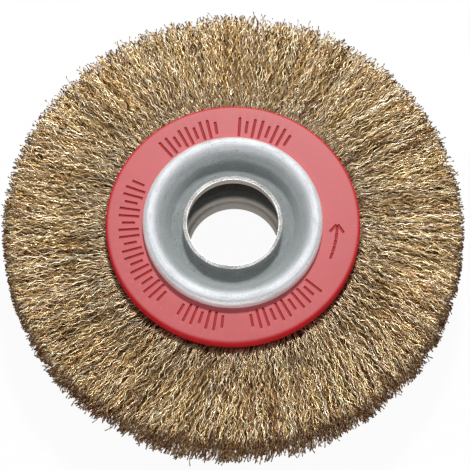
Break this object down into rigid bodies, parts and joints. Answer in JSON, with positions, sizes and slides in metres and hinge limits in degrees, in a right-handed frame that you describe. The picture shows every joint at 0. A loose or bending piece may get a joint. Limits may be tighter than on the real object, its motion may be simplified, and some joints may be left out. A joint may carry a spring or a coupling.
{
  "type": "wire wheel brush",
  "caption": "Crimped wire wheel brush for a bench grinder: brassed wires flare from a hub of red pressed plates and zinc-plated ferrules round an open bore.",
  "frame": {"origin": "on the bore's axis, in the middle plane of the wheel", "axes": "+Z runs along the bore out of the front face, which the camera sees; the wheel lies flat on the crest of its back ferrule"},
  "size_m": [0.1523, 0.1523, 0.0328],
  "materials": {
    "plate_paint": "gloss",
    "zinc_plated_steel": "satin",
    "bare_steel": "satin",
    "packed_wire": "satin",
    "brassed_wire": "satin"
  },
  "bodies": {
    "root": {"front_plate": "plate_paint", "back_plate": "plate_paint", "front_ferrule": "zinc_plated_steel", "back_ferrule": "zinc_plated_steel", "core_ring": "bare_steel", "wire_mass": "packed_wire", "front_wires": "brassed_wire", "back_wires": "brassed_wire"}
  },
  "joints": []
}
